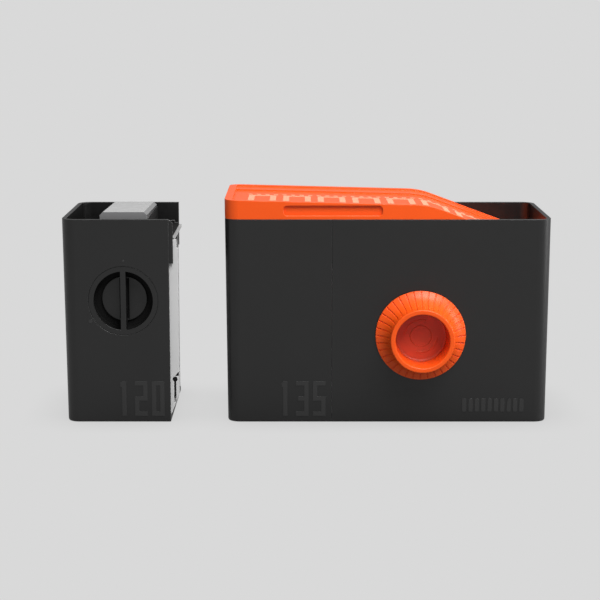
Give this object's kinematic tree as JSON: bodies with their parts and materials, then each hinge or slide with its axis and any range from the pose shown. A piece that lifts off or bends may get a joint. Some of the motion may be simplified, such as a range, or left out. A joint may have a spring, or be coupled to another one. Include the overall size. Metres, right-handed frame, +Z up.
{
  "type": "film developing tank",
  "caption": "Daylight film developing tank with a fluted cup knob, a sloping lid and interchangeable loading modules for cassette and roll film.",
  "frame": {"origin": "centre of the base of the tank with its 35 mm module fitted, on the surface it stands on", "axes": "+X to the right, towards the pouring end; -Y to the front, where the knob is; +Z up"},
  "size_m": [0.2849, 0.1109, 0.1317],
  "materials": {
    "black_plastic": "fine satin texture",
    "inner_black": "matt, as moulded",
    "dial_black": "fine satin texture",
    "mark_black": "raised, satin",
    "orange_plastic": "semi-gloss",
    "print_cream": "printed",
    "guide_white": "smooth",
    "cap_grey": "smooth",
    "reel_plastic": "smooth",
    "felt": "short pile",
    "seal_rubber": "matt",
    "steel": "brushed"
  },
  "bodies": {
    "tank": {"tank_body": "black_plastic", "light_baffle": "inner_black", "knob_bush": "inner_black", "shaft_seal": "seal_rubber", "rear_pivot": "inner_black", "rear_pivot_screws": "steel", "tank_mark": "mark_black"},
    "reel": {"reel_core": "reel_plastic", "core_clip": "steel"},
    "reel_front": {"reel_half_front": "reel_plastic"},
    "reel_back": {"reel_half_back": "reel_plastic"},
    "knob": {"winding_knob": "orange_plastic", "knob_cover": "orange_plastic", "knob_screw": "steel", "drive_shaft": "inner_black", "shaft_ring": "steel"},
    "module_135": {"module_135_shell": "black_plastic", "film_guide_135": "guide_white", "slot_roof_135": "guide_white", "slot_felt_135": "felt", "web_felt_135": "felt", "click_stud_135": "inner_black", "guide_screws_135": "steel", "numerals_135": "mark_black", "cassette_cradle": "inner_black", "cassette_spring": "steel", "cutter_bracket": "inner_black", "cutter_spring": "steel"},
    "cutter": {"cutter_carriage": "inner_black", "cutter_blade": "steel", "cutter_slider": "orange_plastic"},
    "lid": {"lid_cover": "orange_plastic", "lid_film_print": "print_cream", "lid_liner": "inner_black", "lid_felt": "felt"},
    "module_120": {"module_120_shell": "black_plastic", "film_guide_120": "guide_white", "web_felt_120": "felt", "click_stud_120": "inner_black", "guide_screws_120": "steel", "numerals_120": "mark_black", "dial_collar": "inner_black", "dial_marks": "mark_black", "film_box": "inner_black", "film_ramp": "inner_black", "peg_housing": "inner_black", "peg_spring": "steel", "flap_pin": "steel", "flap_brackets": "guide_white"},
    "dial": {"winding_dial": "dial_black", "dial_cup": "inner_black", "spool_key": "inner_black", "dial_clip": "steel"},
    "box_cap": {"film_box_cap": "cap_grey"},
    "peg": {"spool_peg": "inner_black"},
    "flap": {"film_flap": "inner_black", "flap_lip": "cap_grey"}
  },
  "joints": [
    {"name": "reel_spin", "type": "hinge", "parent": "tank", "child": "reel", "pos_m": [0.0194, 0, 0.0523], "axis": [0, -1, 0], "continuous": true},
    {"name": "reel_front_adjust", "type": "slide", "parent": "reel", "child": "reel_front", "axis": [0, -1, 0], "range_m": [0, 0.0136]},
    {"name": "reel_back_adjust", "type": "slide", "parent": "reel", "child": "reel_back", "axis": [0, 1, 0], "range_m": [0, 0.0136]},
    {"name": "knob_pull", "type": "slide", "parent": "reel", "child": "knob", "axis": [0, -1, 0], "range_m": [0, 0.0128]},
    {"name": "module_135_lift", "type": "slide", "parent": "tank", "child": "module_135", "axis": [0, 0, 1], "range_m": [0, 0.115]},
    {"name": "lid_lift", "type": "slide", "parent": "module_135", "child": "lid", "axis": [0, 0, 1], "range_m": [0, 0.06]},
    {"name": "cutter_slide", "type": "slide", "parent": "module_135", "child": "cutter", "axis": [0, 0, -1], "range_m": [0, 0.009], "stiffness_N_per_m": 80, "springref_m": -0.004, "deforming": ["cutter_spring"]},
    {"name": "module_120_lift", "type": "slide", "parent": "tank", "child": "module_120", "axis": [0, 0, 1], "range_m": [0, 0.1]},
    {"name": "dial_turn", "type": "hinge", "parent": "module_120", "child": "dial", "pos_m": [-0.1544, -0.04, 0.0726], "axis": [0, -1, 0], "range_deg": [0, 123]},
    {"name": "cap_lift", "type": "slide", "parent": "module_120", "child": "box_cap", "axis": [0, 0, 1], "range_m": [0, 0.04]},
    {"name": "peg_press", "type": "slide", "parent": "module_120", "child": "peg", "axis": [0, 1, 0], "range_m": [0, 0.0028], "stiffness_N_per_m": 250, "springref_m": -0.002, "deforming": ["peg_spring"]},
    {"name": "flap_open", "type": "hinge", "parent": "module_120", "child": "flap", "pos_m": [-0.1344, 0, 0.1073], "axis": [0, -1, 0], "range_deg": [0, 100]}
  ]
}
